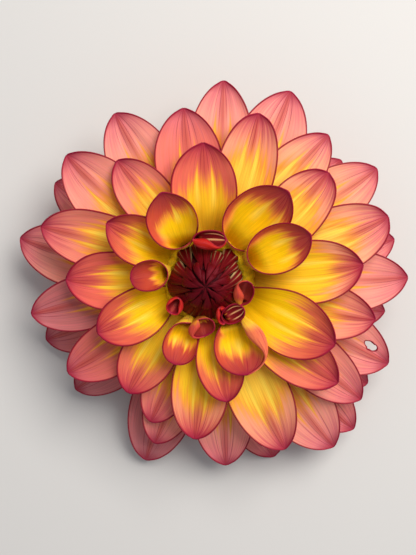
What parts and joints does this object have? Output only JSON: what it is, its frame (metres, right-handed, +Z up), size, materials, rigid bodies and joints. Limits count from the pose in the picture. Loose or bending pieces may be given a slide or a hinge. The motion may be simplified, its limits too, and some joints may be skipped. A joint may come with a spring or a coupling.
{
  "type": "dahlia flower",
  "caption": "Open dahlia head on a short cut stalk, lying on its back: layered pointed florets round a dark closed centre, for a display, vase or table setting.",
  "frame": {"origin": "middle of the flower's outline on the surface that it lies on", "axes": "+Z up, the way the flower faces apart from its small lean; +Y is the upper edge of the flower as pictured; +X to the right of it"},
  "size_m": [0.1196, 0.1182, 0.0458],
  "materials": {
    "petal": "satin",
    "centre": "satin",
    "green": "satin",
    "bract": "matte"
  },
  "bodies": {
    "root": {"ray_petals": "petal", "centre_florets": "centre", "flower_stalk": "green", "inner_bracts": "bract"}
  },
  "joints": []
}
